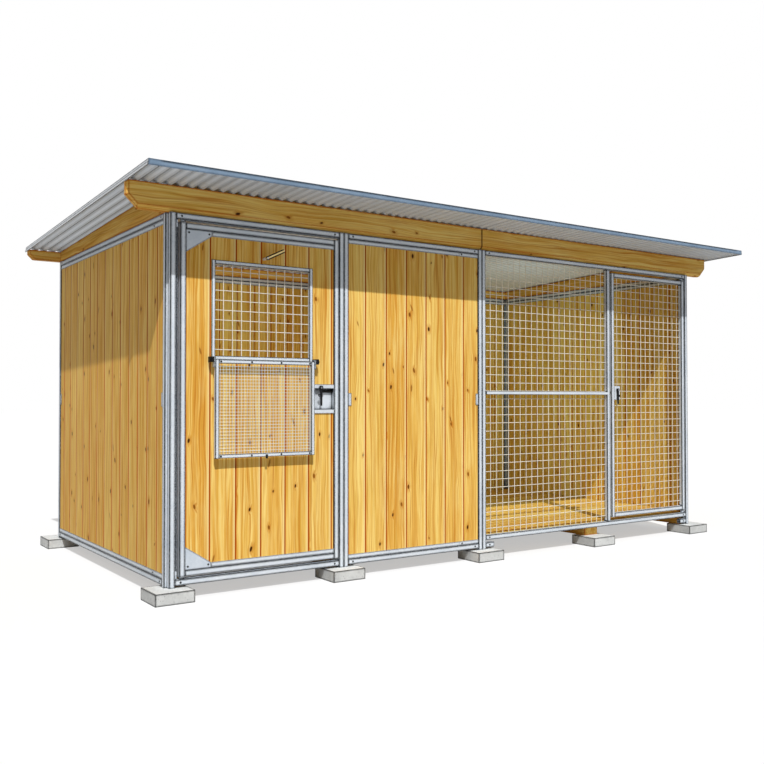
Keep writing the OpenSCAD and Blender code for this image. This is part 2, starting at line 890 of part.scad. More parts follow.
// Roof plane: x along the front, y down the slope from the front edge, z square to the sheets
module on_roof() {
    translate([0, 0, frame_h + front_beam_h]) rotate([-roof_angle, 0, 0])
        translate([-roof_side, -roof_front / cos(roof_angle), 0]) children();
}

function wave_z(i) = wave_h * (1 - cos(360 * i / steps)) / 2;

module roof_sheet(first, last) {
    n = (last - first) * steps;
    dx = wave_w / steps;
    translate([first * wave_w, roof_run, 0]) rotate([90, 0, 0]) linear_extrude(roof_run) polygon(concat(
        [for (i = [0 : n]) [i * dx, wave_z(i)]],
        [for (i = [n : -1 : 0]) [i * dx, wave_z(i) + roof_t]]
    ));
}

// Every second sheet laps over its neighbours by one wave
module roof_sheets() {
    per_sheet = waves / sheet_n;
    color(ROOF) placed() on_roof()
        for (i = [0 : sheet_n - 1]) {
            lap = i % 2;
            translate([0, 0, lap * (roof_t + fit)])
                roof_sheet(i * per_sheet - lap, min((i + 1) * per_sheet + lap, waves));
        }
}

module front_flashing() {
    top = wave_h + 2 * roof_t + fit;
    color(BLUE_GREY) placed() on_roof() {
        translate([-flashing_t, -flashing_t, top + flashing_t - flashing_h])
            cube([roof_w + 2 * flashing_t, flashing_t, flashing_h]);
        translate([flashing_w, 0, top]) cube([roof_w - 2 * flashing_w, flashing_w, flashing_t]);
        translate([flashing_w, -flashing_t / 2, top])
            cube([roof_w - 2 * flashing_w, flashing_t, flashing_t]);
    }
}

// Angle along each end of the roof
module verge_flashing() {
    top = wave_h + 2 * roof_t + fit;
    translate([0, roof_run, top]) rotate([90, 0, 0]) linear_extrude(roof_run) {
        translate([-flashing_t, 0]) square([flashing_w + flashing_t, flashing_t]);
        translate([-flashing_t, flashing_t - flashing_h]) square([flashing_t, flashing_h]);
        translate([-flashing_t - verge_step, flashing_t - flashing_h]) square([verge_step + over, verge_lip]);
    }
}

module verge_flashings() {
    color(ZINC) placed() on_roof() {
        verge_flashing();
        translate([roof_w, 0, 0]) mirror([1, 0, 0]) verge_flashing();
    }
}

module service_door_frame() {
    color(ZINC) placed() difference() {
        translate([leaf_x, 0, leaf_z]) tube_frame(leaf_w, leaf_h, tube);
        bolt_bore(leaf_end_x - tube, bolt_d + 2 * pin_play);
    }
}

module service_door_channels() {
    color(ZINC) placed() on_hinge_corners() channel(gusset_w, 0, leaf_w - 2 * tube - gusset_w);
}

// Space that the lock box takes in the leaf
module lock_space() {
    translate([lock_x, -over, lock_z]) cube([lock_w + over, tube + 2 * over, lock_h]);
}

module service_door_boards() {
    color(PINE) placed() difference() {
        board_row(
            leaf_x + tube, leaf_w - 2 * tube,
            leaf_z + tube + channel_wall, leaf_z + leaf_h - tube - channel_wall, leaf_joint_shift
        );
        translate([window_x, -over, window_z]) cube([window_w, tube + 2 * over, window_h]);
        lock_space();
    }
}

// Places of the two corners on the hinge side of the leaf, inside stile and rail
module on_hinge_corners() {
    translate([leaf_x + tube, 0, leaf_z + tube]) children();
    translate([leaf_x + tube, 0, leaf_z + leaf_h - tube]) mirror([0, 0, 1]) children();
}

// Corner plate on the boards, which carries on the line of the channel
module gusset() {
    translate([0, board_y, 0]) rotate([90, 0, 0]) linear_extrude(channel_wall)
        polygon([[0, 0], [gusset_w, 0], [gusset_w, channel_h], [0, gusset_h]]);
}

module service_door_gussets() {
    color(ZINC) placed() on_hinge_corners() gusset();
}

// Plug in the end of a hinge stile with the pivot pin on it, pointing up
module pivot(gap) {
    translate([-tube / 2, -tube / 2, 0]) cube([tube, tube, plug_t]);
    translate([0, 0, plug_t]) cylinder(d = pivot_d, h = gap - plug_t - face_play);
}

module service_door_pivots() {
    color(ZINC) placed() translate([service_pivot_x, pivot_y, leaf_z]) {
        mirror([0, 0, 1]) pivot(leaf_gap_bottom);
        translate([0, 0, leaf_h]) pivot(leaf_gap_top);
    }
}

module window_frame() {
    color(ZINC) placed() translate([window_x, 0, window_z]) tube_frame(window_w, window_h, slim);
}

module window_mesh() {
    color(ZINC) placed()
        translate([window_x + slim, slim / 2 - wire_d, window_z + slim])
            wires(window_w - 2 * slim, window_h - 2 * slim, mesh_pitch, wire_d);
}

// Block on the boards with the pin that carries one end of the flap
module hinge_bracket() {
    h = slim + 2 * bracket_rim;
    front = flap_y - bracket_rim;
    translate([-bracket_w, front, -h / 2]) cube([bracket_w, board_y - front, h]);
    pin_x(flap_axis_y, 0, -over, ear_t + face_play, flap_pin_d);
    pin_x(flap_axis_y, 0, -bracket_w - bracket_cap, -bracket_w, slim);
}

module flap_hinge_brackets() {
    color(BLACK) placed() {
        translate([flap_x - ear_t - face_play, 0, window_z]) hinge_bracket();
        translate([flap_x + flap_w + ear_t + face_play, 0, window_z]) mirror([1, 0, 0]) hinge_bracket();
    }
}

// Stand-off and screw of the turn button
module turn_button_post() {
    color(YELLOW_ZINC) placed() {
        head_y = button_y - face_play;
        pin_y(leaf_mid_x, button_z, button_y + button_t + face_play, board_y, button_post_d);
        pin_y(leaf_mid_x, button_z, head_y, board_y - over, button_pin_d);
        pin_y(leaf_mid_x, button_z, head_y - button_head_t, head_y, button_head_d);
    }
}

module turn_button() {
    r = button_w / 2;
    color(YELLOW_ZINC) placed()
        translate([leaf_mid_x, button_y + button_t, button_z]) rotate([90, -button_angle, 0])
            linear_extrude(button_t) difference() {
                union() {
                    circle(r);
                    translate([0, -r]) square([button_l - button_w, button_w]);
                    translate([button_l - button_w, 0]) circle(r);
                }
                circle(d = button_pin_d + 2 * pin_play);
            }
}

// Pin with a cap that carries a lever, standing out from the face at y
module lever_pin(x, y, z) {
    cap_y = -lever_gap - lever_t - face_play;
    pin_y(x, z, cap_y, y, lever_pin_d);
    pin_y(x, z, cap_y - lever_cap_t, cap_y, lever_cap_d);
}

// Sheet box with a recessed plate
module service_lock_box() {
    color(ZINC) placed() {
        difference() {
            translate([lock_x, 0, lock_z]) cube([lock_w, lock_depth, lock_h]);
            translate([lock_x + sheet, -over, lock_z + lock_flange])
                cube([lock_w - 2 * sheet, lock_depth - sheet + over, lock_h - 2 * lock_flange]);
            translate([lock_x + lock_w, 0, 0])
                pin_x(pivot_y, bolt_z, -sheet - over, over, bolt_d + 2 * pin_play);
        }
        lever_pin(service_lever_x, over, service_lever_z);
    }
}

// Hanging lever with a padlock eye, turning on its own pin
module lever(eye_side) {
    top = lever_top_w / 2;
    tip = lever_tip_w / 2;
    eye_x = eye_side * (top + eye_bore / 2);
    rotate([90, 0, 0]) difference() {
        union() {
            cylinder(d = lever_hub_d, h = lever_t);
            linear_extrude(lever_t) polygon([[-top, 0], [top, 0], [tip, -lever_l], [-tip, -lever_l]]);
            translate([eye_x, -eye_drop, 0]) cylinder(d = eye_d, h = lever_t);
        }
        translate([0, 0, -over]) cylinder(d = lever_pin_d + 2 * pin_play, h = lever_t + 2 * over);
        translate([eye_x, -eye_drop, -over]) cylinder(d = eye_bore, h = lever_t + 2 * over);
    }
}

module service_lever() {
    color(BLACK) placed() translate([service_lever_x, -lever_gap, service_lever_z]) lever(-1);
}

// Round bolt, with a driver stud near its inner end
module service_bolt() {
    inner = service_lever_x + lever_hub_d / 2;
    color(YELLOW_ZINC) placed() {
        pin_x(pivot_y, bolt_z, inner, leaf_end_x - bolt_back, bolt_d);
        pin_y(inner + stud_in, bolt_z, sheet, pivot_y, stud_d);
    }
}

module run_door_frame() {
    color(ZINC) placed() difference() {
        translate([run_leaf_x, 0, run_leaf_z]) tube_frame(run_leaf_w, run_leaf_h, tube);
        bolt_bore(run_leaf_x, bolt_d + 2 * pin_play);
    }
}

module run_door_mesh() {
    color(ZINC) placed() difference() {
        translate([run_leaf_x + tube, wire_y, run_leaf_z + tube])
            wires(run_leaf_w - 2 * tube, run_leaf_h - 2 * tube, mesh_pitch, wire_d);
        translate([case_x - over, 0, case_z]) cube([case_w + over, tube, case_h]);
    }
}

module run_door_pivots() {
    color(ZINC) placed() translate([run_pivot_x, pivot_y, run_leaf_z]) {
        mirror([0, 0, 1]) pivot(run_gap_bottom);
        translate([0, 0, run_leaf_h]) pivot(run_gap_top);
    }
}

module run_lock_case() {
    color(ZINC) placed() {
        difference() {
            translate([case_x, case_y, case_z]) cube([case_w, case_t, case_h]);
            pin_x(pivot_y, bolt_z, case_x - over, case_x + case_w - sheet, bolt_d + 2 * pin_play);
        }
        lever_pin(run_lever_x, case_y + over, run_lever_z);
    }
}

module run_lever() {
    color(BLACK) placed() translate([run_lever_x, -lever_gap, run_lever_z]) lever(1);
}

module run_bolt() {
    inner = case_x + case_w - sheet - bolt_back;
    color(YELLOW_ZINC) placed() pin_x(pivot_y, bolt_z, run_leaf_x + bolt_back, inner, bolt_d);
}

module flap_frame() {
    color(ZINC) placed() translate([flap_x, flap_y, window_z - flap_h]) tube_frame(flap_w, flap_h, slim);
}

module flap_mesh() {
    color(ZINC) placed()
        translate([flap_x + slim, flap_axis_y - fine_d, window_z - flap_h + slim])
            wires(flap_w - 2 * slim, flap_h - 2 * slim, fine_pitch, fine_d);
}

// Ear beside each end of the flap's top rail, round about the hinge axis
module flap_ears() {
    color(ZINC) placed()
        for (x = [flap_x - ear_t, flap_x + flap_w]) difference() {
            union() {
                pin_x(flap_axis_y, window_z, x, x + ear_t, slim);
                translate([x, flap_y, window_z - 2 * slim]) cube([ear_t, slim, 2 * slim]);
            }
            pin_x(flap_axis_y, window_z, x - over, x + ear_t + over, flap_pin_d + 2 * pin_play);
        }
}

module flap_keeper() {
    color(BLACK) placed()
        translate([leaf_mid_x - flap_tab_w / 2, flap_y - sheet, window_z - flap_h - flap_tab_drop])
            cube([flap_tab_w, sheet, slim]);
}

module door_screws() {
    color(BLACK) placed() on_hinge_corners()
        for (x = [gusset_screw_in, gusset_w - gusset_screw_in]) screw_head(x, channel_y, gusset_screw_z);
}

module flap_screws() {
    pitch = (flap_w - 2 * flap_screw_in) / (flap_screw_n - 1);
    color(BLACK) placed()
        for (i = [0 : flap_screw_n - 1])
            for (z = [window_z - flap_h + slim / 2, window_z - slim / 2])
                screw_head(flap_x + flap_screw_in + i * pitch, flap_y, z);
}

foundation_pads();
left_wall_frame();
left_wall_channels();
left_wall_boards();
right_wall_frame();
right_wall_channels();
right_wall_boards();
rear_wall_frame();
rear_wall_channels();
rear_wall_boards();
partition_frame();
partition_channels();
partition_boards();
dog_doorway_frame();
service_bay_frame();
hinge_filler_strip();
door_stop_strips();
panel_bay_frame();
panel_bay_channels();
panel_bay_boards();
mesh_bay_frame();
mesh_bay_mesh();
foot_brackets();
board_clips();
frame_screws();
door_bushes();
bolt_keepers();
floor_joists();
floor_deck();
front_beam();
rear_beam();
tapered_timbers();
roof_sheets();
front_flashing();
verge_flashings();
service_door_frame();
service_door_channels();
service_door_boards();
service_door_gussets();
service_door_pivots();
window_frame();
window_mesh();
flap_hinge_brackets();
turn_button_post();
service_lock_box();
flap_frame();
flap_mesh();
flap_ears();
flap_keeper();
door_screws();
flap_screws();
turn_button();
service_lever();
service_bolt();
run_door_frame();
run_door_mesh();
run_door_pivots();
run_lock_case();
run_lever();
run_bolt();
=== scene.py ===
"""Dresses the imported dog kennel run.

Every node keeps its shape and gets a material: pine, zinc, coated sheet, concrete, black or yellow fitting.
The floor, the lights and the camera come last.
"""
import json
import math

import bpy
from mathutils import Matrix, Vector


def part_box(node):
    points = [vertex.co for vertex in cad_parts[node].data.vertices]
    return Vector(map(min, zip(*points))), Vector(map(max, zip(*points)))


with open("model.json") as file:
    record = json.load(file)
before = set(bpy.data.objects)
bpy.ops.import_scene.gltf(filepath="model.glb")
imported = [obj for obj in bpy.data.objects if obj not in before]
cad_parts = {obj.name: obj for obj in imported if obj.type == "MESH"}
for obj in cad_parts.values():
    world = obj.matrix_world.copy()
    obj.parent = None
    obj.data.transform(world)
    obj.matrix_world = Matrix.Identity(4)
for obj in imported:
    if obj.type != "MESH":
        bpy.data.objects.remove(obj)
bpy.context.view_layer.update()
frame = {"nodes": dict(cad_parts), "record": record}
nodes = frame["nodes"]

X, Y, Z = 0, 1, 2


# Node helpers

# Sockets of a mix node that mixes colours
MIX_FACTOR, MIX_A, MIX_B = 0, 6, 7
MIX_RESULT = 2
# Agreement of the flat and the rounded normal where the dark of an edge starts and where it is full
EDGE_AGREEMENT = (0.992, 0.95)
EDGE_SAMPLES = 6
# Strength of the gloss on metal
METAL_GLOSS = 0.15


def plug(tree, socket, value):
    """Links an output to a socket, or sets the socket's value."""
    if isinstance(value, bpy.types.NodeSocket):
        tree.links.new(value, socket)
    else:
        socket.default_value = value


def add(tree, kind, inputs=None, **settings):
    """A node with its settings, and with values or links on its inputs."""
    made = tree.nodes.new(kind)
    for key, value in settings.items():
        setattr(made, key, value)
    for key, value in (inputs or {}).items():
        plug(tree, made.inputs[key], value)
    return made


def calc(tree, operation, a, b=0.0, c=0.0):
    """Result of a math node on numbers or sockets."""
    return add(tree, "ShaderNodeMath", {0: a, 1: b, 2: c}, operation=operation).outputs[0]


def ramp(tree, factor, stops):
    """Colour along a ramp of (position, colour) stops."""
    made = add(tree, "ShaderNodeValToRGB", {"Fac": factor})
    elements = made.color_ramp.elements
    while len(elements) < len(stops):
        elements.new(0.5)
    for element, (position, colour) in zip(elements, stops):
        element.position = position
        element.color = (*colour, 1.0)
    return made.outputs["Color"]


def mix(tree, factor, a, b, blend="MIX"):
    """Mix of two colours."""
    made = add(tree, "ShaderNodeMix", data_type="RGBA", blend_type=blend)
    for index, value in ((MIX_FACTOR, factor), (MIX_A, a), (MIX_B, b)):
        plug(tree, made.inputs[index], (*value, 1.0) if isinstance(value, tuple) else value)
    return made.outputs[MIX_RESULT]


def tinge(tree, base, share, strength, colour):
    """A base colour with another mixed in by its share times a strength."""
    return mix(tree, calc(tree, "MULTIPLY", share, strength), base, colour)


def vector(tree, x, y, z):
    """Vector of three numbers or sockets."""
    return add(tree, "ShaderNodeCombineXYZ", {0: x, 1: y, 2: z}).outputs[0]


def scaled(tree, parts, scales):
    """Vector of three numbers or sockets, each times its scale."""
    return vector(tree, *(calc(tree, "MULTIPLY", part, scale) for part, scale in zip(parts, scales)))


def axes(tree, value):
    """The three parts of a vector."""
    return add(tree, "ShaderNodeSeparateXYZ", {0: value}).outputs


def channels(tree, colour):
    """The three channels of a colour."""
    return add(tree, "ShaderNodeSeparateColor", {0: colour}).outputs


def noise(tree, coords, scale=1.0, detail=3.0, roughness=0.55, distortion=0.0):
    """Soft random pattern, about 0.5 on average."""
    return add(tree, "ShaderNodeTexNoise", {
        "Vector": coords, "Scale": scale, "Detail": detail, "Roughness": roughness, "Distortion": distortion,
    }).outputs["Fac"]


def stretch(tree, value, low, high):
    """Value from low to high spread over 0 to 1, and held there."""
    return add(tree, "ShaderNodeMapRange", {"Value": value, "From Min": low, "From Max": high}).outputs[0]


def material(name):
    """A fresh material with its tree and main shader."""
    made = bpy.data.materials.new(name)
    made.use_nodes = True
    return made, made.node_tree, made.node_tree.nodes["Principled BSDF"]


def own_frame(tree):
    """Place and normal of a point in the frame of its node."""
    outputs = add(tree, "ShaderNodeTexCoord").outputs
    return outputs["Object"], outputs["Normal"]


def surface(tree, shader, colour, roughness, metallic=0.0, gloss=METAL_GLOSS):
    """Gives the main shader its colour, roughness, share of metal and strength of gloss."""
    plug(tree, shader.inputs["Base Color"], colour)
    plug(tree, shader.inputs["Roughness"], roughness)
    shader.inputs["Metallic"].default_value = metallic
    shader.inputs["Specular IOR Level"].default_value = gloss


def bump(tree, shader, height, distance, strength):
    """Raises the surface by a height pattern, over a distance in metres."""
    made = add(tree, "ShaderNodeBump", {"Height": height, "Distance": distance, "Strength": strength})
    tree.links.new(made.outputs[0], shader.inputs["Normal"])


def edges(tree, radius):
    """1 along the sharp edges of a piece, falling to 0 within the radius."""
    flat = add(tree, "ShaderNodeNewGeometry").outputs["True Normal"]
    rounded = add(tree, "ShaderNodeBevel", {"Radius": radius}, samples=EDGE_SAMPLES).outputs["Normal"]
    agree = add(tree, "ShaderNodeVectorMath", {0: flat, 1: rounded}, operation="DOT_PRODUCT").outputs["Value"]
    return stretch(tree, agree, *EDGE_AGREEMENT)


def linear(code):
    """Linear colour of a hex code as it should look on screen."""
    parts = [int(code[i:i + 2], 16) / 255 for i in (1, 3, 5)]
    return tuple(p / 12.92 if p <= 0.04045 else ((p + 0.055) / 1.055) ** 2.4 for p in parts)


# Wood

PINE_TONES = [(0.0, linear("#e8ae49")), (0.5, linear("#efbd59")), (1.0, linear("#f4ca69"))]
PINE_STREAK = linear("#c87f27")
PINE_PALE = linear("#ffe28a")
PINE_FIBRE = linear("#c58a3c")
PINE_OCHRE = linear("#dcae42")
PINE_JOINT = linear("#b9590b")
# Painted highlight along one edge of each board
PINE_HIGHLIGHT = linear("#fce49c")
PINE_BUTT = linear("#4a2405")
KNOT_DARK = linear("#4c2a0a")
KNOT_BROWN = linear("#8f5716")
KNOT_HALO = linear("#c67c28")
PINE_GLOSS = 0.06
PINE_ROUGHNESS = 0.45
FIBRE_ROUGHNESS = 0.25
PINE_BUMP = {"distance": 0.0012, "strength": 0.3}

# How far apart in the grain two boards may be cut, in metres
CUT_ALONG = 37.0
CUT_ACROSS = 11.0
# Slow sway of the grain: its scales over width, length and depth, and how far it moves, in metres
SWAY_SCALES = (9.0, 1.7, 0.0)
SWAY = 0.05
# How far the grain bends round a knot, in metres
KNOT_BEND = 0.010
# Grain patterns: scales over width, length and depth, then detail, roughness and distortion of the noise
GRAIN = {
    "streaks": ((58.0, 0.8, 20.0), 3.0, 0.6, 0.4),
    "veins": ((150.0, 1.6, 40.0), 2.0, 0.5, 0.6),
    "fibres": ((300.0, 7.0, 90.0), 2.0, 0.55, 0.0),
    "patches": ((17.0, 2.4, 0.0), 3.0, 0.6, 0.0),
}
# What the grain patterns mix in: the pattern, where its colour starts and is full, strength and colour
GRAIN_COLOURS = [
    ("patches", (0.52, 0.70), 0.55, PINE_PALE),
    ("patches", (0.48, 0.30), 0.60, PINE_OCHRE),
    ("streaks", (0.50, 0.70), 0.60, PINE_STREAK),
    ("streaks", (0.49, 0.29), 0.70, PINE_PALE),
    ("veins", (0.52, 0.68), 0.80, PINE_STREAK),
    ("veins", (0.47, 0.30), 0.75, PINE_PALE),
    ("fibres", (0.5, 0.8), 0.45, PINE_FIBRE),
]
# Share of the fibres in the height of the grain
FIBRE_HEIGHT = 0.4

# Knots and longer dashes, as the scattered marks below take them
KNOTS = {"cell": (0.125, 0.33), "share": 0.70, "size": (0.006, 0.014), "squeeze": 1.9, "lean": 0.25}
DASHES = {"cell": (0.09, 0.55), "share": 0.22, "size": (0.012, 0.024), "squeeze": 4.0, "lean": 0.5}
# Shift across the grain that gives the dashes a scatter of their own, in metres
DASH_SHIFT = 3.7
KNOT_HALO_STRENGTH = 0.55
DASH_HALO_STRENGTH = 0.30
DASH_STRENGTH = 0.75
# Random number of a knot where brown starts to turn dark and where it has
KNOT_DARKENING = (0.35, 0.55)
# Uneven outline of a mark: its scales over width, length and depth, and its strength
OUTLINE_SCALES = (130.0, 60.0, 0.0)
OUTLINE = 0.6
# Distance in half lengths where a mark and its halo start and where they are full
MARK_REACH = (1.45, 1.10)
HALO_REACH = (3.4, 1.2)
MARK_SCATTER = 0.9

# Place across a board, from 0 to 1, where its painted highlight starts and is full
HIGHLIGHT_SPAN = (0.86, 0.95)
HIGHLIGHT_STRENGTH = 0.80
# Sideways part of a face's normal where it starts to count as cut and where it fully does
CUT_FACE = (0.3, 0.6)
# How far a joint darkens a board and how soon it fades, in board widths
JOINT_LINE = 0.034
JOINT_FADE = 0.012
# How far the dark of a timber's corners reaches, in metres
TIMBER_RIM = 0.013
# Distance from a butt joint where its dark starts and where it is full, in metres
BUTT_REACH = (0.006, 0.003)


def marks(tree, width, run, cell, share, size, squeeze, lean):
    """Scattered oval marks: how far inside one and how near one a point lies, and the mark's random number.

    cell is the width and length of the patch that may hold one, share the part of the patches that do,
    size the least and greatest half length, squeeze length over width, and lean how far a mark may slant.
    """
    space = vector(tree, calc(tree, "DIVIDE", width, cell[0]), calc(tree, "DIVIDE", run, cell[1]), 0.0)
    cells = add(tree, "ShaderNodeTexVoronoi", {"Vector": space, "Scale": 1.0, "Randomness": MARK_SCATTER},
                voronoi_dimensions="2D")
    pick = channels(tree, cells.outputs["Color"])
    apart = add(tree, "ShaderNodeVectorMath", {0: space, 1: cells.outputs["Position"]}, operation="SUBTRACT")
    gap = axes(tree, apart.outputs[0])
    up = calc(tree, "MULTIPLY", gap[1], cell[1])
    slant = calc(tree, "MULTIPLY_ADD", pick[2], 2.0 * lean, -lean)
    over = calc(tree, "SUBTRACT", calc(tree, "MULTIPLY", gap[0], cell[0]), calc(tree, "MULTIPLY", slant, up))
    offset = vector(tree, calc(tree, "MULTIPLY", over, squeeze), up, 0.0)
    reach = add(tree, "ShaderNodeVectorMath", {0: offset}, operation="LENGTH").outputs["Value"]
    half = calc(tree, "MULTIPLY_ADD", pick[1], size[1] - size[0], size[0])
    uneven = noise(tree, scaled(tree, (width, run, 0.0), OUTLINE_SCALES))
    ratio = calc(tree, "MULTIPLY_ADD", uneven, OUTLINE, calc(tree, "DIVIDE", reach, half))
    held = calc(tree, "LESS_THAN", pick[0], share)
    inside = calc(tree, "MULTIPLY", stretch(tree, ratio, *MARK_REACH), held)
    near = calc(tree, "MULTIPLY", stretch(tree, ratio, *HALO_REACH), held)
    return inside, near, pick[2]


def pine(name, along, across, origin, cover, seed,
         joints=True, split=None, butt=None, tint=None, line=JOINT_LINE):
    """Knotty pine in boards of one cover width, which run along one axis and lie side by side on another.

    joints says whether the boards show their cut edges, or the timber its darkened corners. split is the
    place on the across axis past which the joints shift, and by how much. butt is the place along the timber
    where two lengths meet, tint a colour that the wood is multiplied by, and line how far a joint darkens a
    board, in board widths.
    """
    made, tree, shader = material(name)
    coords, normal = own_frame(tree)
    place = axes(tree, coords)
    facing = axes(tree, normal)
    third = ({X, Y, Z} - {along, across}).pop()
    side = calc(tree, "SUBTRACT", place[across], origin)
    if split:
        past = calc(tree, "GREATER_THAN", place[across], split[0])
        side = calc(tree, "SUBTRACT", side, calc(tree, "MULTIPLY", past, split[1]))
    steps = calc(tree, "DIVIDE", side, cover)
    index = calc(tree, "FLOOR", steps)
    within = calc(tree, "SUBTRACT", steps, index)
    draw = add(tree, "ShaderNodeTexWhiteNoise", {"W": calc(tree, "ADD", index, seed)}, noise_dimensions="1D")
    spread = channels(tree, draw.outputs["Color"])
    # Each board takes its own stretch of grain
    run = calc(tree, "MULTIPLY_ADD", spread[0], CUT_ALONG, place[along])
    width = calc(tree, "MULTIPLY_ADD", spread[1], CUT_ACROSS, place[across])
    core, halo, kind = marks(tree, width, run, **KNOTS)
    dash, dash_halo, _ = marks(tree, calc(tree, "ADD", width, DASH_SHIFT), run, **DASHES)
    # Long streaks that bend round the knots, and fine fibres
    sway = noise(tree, scaled(tree, (width, run, 0.0), SWAY_SCALES), detail=2.0)
    bent = calc(tree, "MULTIPLY_ADD", sway, SWAY, calc(tree, "MULTIPLY_ADD", halo, KNOT_BEND, width))
    space = (bent, run, place[third])
    grain = {
        pattern: noise(tree, scaled(tree, space, scales), 1.0, *character)
        for pattern, (scales, *character) in GRAIN.items()
    }
    wood = ramp(tree, draw.outputs["Value"], PINE_TONES)
    for pattern, span, strength, colour in GRAIN_COLOURS:
        wood = tinge(tree, wood, stretch(tree, grain[pattern], *span), strength, colour)
    wood = tinge(tree, wood, halo, KNOT_HALO_STRENGTH, KNOT_HALO)
    wood = tinge(tree, wood, dash_halo, DASH_HALO_STRENGTH, KNOT_HALO)
    wood = tinge(tree, wood, dash, DASH_STRENGTH, KNOT_BROWN)
    knot = mix(tree, stretch(tree, kind, *KNOT_DARKENING), KNOT_BROWN, KNOT_DARK)
    wood = mix(tree, core, wood, knot)
    if joints:
        # The cut edges between boards are darker and warmer, with a painted highlight along one side
        # Painted highlight on one edge of each board
        wood = tinge(tree, wood, stretch(tree, within, *HIGHLIGHT_SPAN), HIGHLIGHT_STRENGTH, PINE_HIGHLIGHT)
        cut = stretch(tree, calc(tree, "ABSOLUTE", facing[across]), *CUT_FACE)
        off_middle = calc(tree, "ABSOLUTE", calc(tree, "SUBTRACT", within, 0.5))
        beside = stretch(tree, off_middle, 0.5 - line, 0.5 - line + JOINT_FADE)
        wood = mix(tree, calc(tree, "MAXIMUM", cut, beside), wood, PINE_JOINT)
    else:
        wood = mix(tree, edges(tree, TIMBER_RIM), wood, PINE_JOINT)
    if butt is not None:
        apart = calc(tree, "ABSOLUTE", calc(tree, "SUBTRACT", place[along], butt))
        wood = mix(tree, stretch(tree, apart, *BUTT_REACH), wood, PINE_BUTT)
    if tint:
        wood = mix(tree, 1.0, wood, tint, "MULTIPLY")
    roughness = calc(tree, "MULTIPLY_ADD", grain["fibres"], FIBRE_ROUGHNESS, PINE_ROUGHNESS)
    surface(tree, shader, wood, roughness, gloss=PINE_GLOSS)
    height = calc(tree, "MULTIPLY_ADD", grain["fibres"], FIBRE_HEIGHT, grain["streaks"])
    bump(tree, shader, calc(tree, "SUBTRACT", height, core), **PINE_BUMP)
    return made


# Zinc, coated sheet, concrete and fittings

# Colour of the painted shade in creases and of the dark lines along edges and corners
ZINC_SHADE_AND_EDGE = linear("#14181d")
ZINC_METAL = 0.1
ZINC_ROUGHNESS = 0.39
# Width of a crease that gets painted shade, in metres
ZINC_GAP = 0.01
ZINC_BUMP = {"distance": 0.0006, "strength": 0.2}
# Spangle and clouds per metre, and their shares in the shade and in the roughness
SPANGLE_SCALE = 95.0
CLOUD_SCALE = 6.0
SPANGLE_SHADE = 0.15
CLOUD_SHADE = 0.95
SPANGLE_ROUGHNESS = 0.14
# Openness of a crease where its painted shade is full and where it ends
CREASE_OPEN = (0.25, 0.75)
CREASE_SAMPLES = 8
# Sum of the normal's parts where a slanting flat starts to count as a corner and where it fully does
CORNER_SLANT = (1.15, 1.35)
# Margin that keeps the posts beside a crossed node out of its box, in metres
CROSSING_MARGIN = 0.0005

COAT_METAL = 0.15
COAT_ROUGHNESS = 0.35
COAT_RIM = 0.014
COAT_BUMP = {"distance": 0.0003, "strength": 0.2}
COAT_STREAK_SCALES = (9.0, 1.2, 9.0)
COAT_SPECKLE_SCALE = 240.0
COAT_STREAK_SHADE = 0.8
COAT_SPECKLE_SHADE = 0.2
COAT_STREAK_ROUGHNESS = 0.2
# Parts of a wave's normal where painted shade starts and is full,
# and where the top ends and the underside begins
SHADED_FLANK = (-0.66, 0.02)
UNDERSIDE = (0.0, -0.2)

CONCRETE_TONES = [(0.3, linear("#b9bab8")), (0.55, linear("#d9dad8")), (0.75, linear("#eeeeec"))]
CONCRETE_PORE = linear("#9a9b99")
CONCRETE_EDGE = linear("#0c0c0c")
CONCRETE_RIM = 0.016
CONCRETE_ROUGHNESS = 0.9
CONCRETE_GLOSS = 0.5
CONCRETE_BUMP = {"distance": 0.0015, "strength": 0.5}
DAMP_SCALE = 9.0
SAND_SCALE = 320.0
PORE_SCALE = 70.0
PORE_SIZE = (0.12, 0.2)
DAMP_SHADE = 0.65
SAND_SHADE = 0.35
SAND_HEIGHT = 0.5

BLACK_TONES = [(0.35, linear("#08080a")), (0.75, linear("#1d1e21"))]
BLACK_BUMP = {"distance": 0.0002, "strength": 0.3}
RUB_SCALE = 160.0
RUB_ROUGHNESS = 0.3
BLACK_ROUGHNESS = 0.3

YELLOW_TONES = [(0.3, linear("#e0bd70")), (0.55, linear("#f4dc98")), (0.8, linear("#e6cc8c"))]
YELLOW_SHADE_AND_OUTLINE = linear("#0c0803")
YELLOW_METAL = 0.3
YELLOW_ROUGHNESS = 0.35
DRIFT_SCALE = 60.0
# Forward part of the normal where a side's painted shade starts and is full,
# and the distance from the bar's line where the dark outline on its face starts and is full
SIDE_TURN = (0.9, 0.5)
SIDE_REACH = (0.0034, 0.0046)


def crease(tree, distance):
    """1 on open faces, falling to 0 in narrow gaps, where it sets the painted shade."""
    made = add(tree, "ShaderNodeAmbientOcclusion", {"Distance": distance}, samples=CREASE_SAMPLES)
    return made.outputs["AO"]


def corners(tree, normal):
    """1 on the narrow flats along the corners of square tubes, which are drawn dark."""
    sizes = [calc(tree, "ABSOLUTE", part) for part in axes(tree, normal)]
    total = calc(tree, "ADD", calc(tree, "ADD", sizes[X], sizes[Y]), sizes[Z])
    return stretch(tree, total, *CORNER_SLANT)


def beyond(tree, coords, node):
    """1 past the width or the height of a node, and 0 in front of it and behind it."""
    place = axes(tree, coords)
    low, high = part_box(node)
    past = []
    for axis in (X, Z):
        apart = calc(tree, "ABSOLUTE", calc(tree, "SUBTRACT", place[axis], (low[axis] + high[axis]) / 2))
        past.append(calc(tree, "GREATER_THAN", apart, (high[axis] - low[axis]) / 2 - CROSSING_MARGIN))
    return calc(tree, "MAXIMUM", *past)


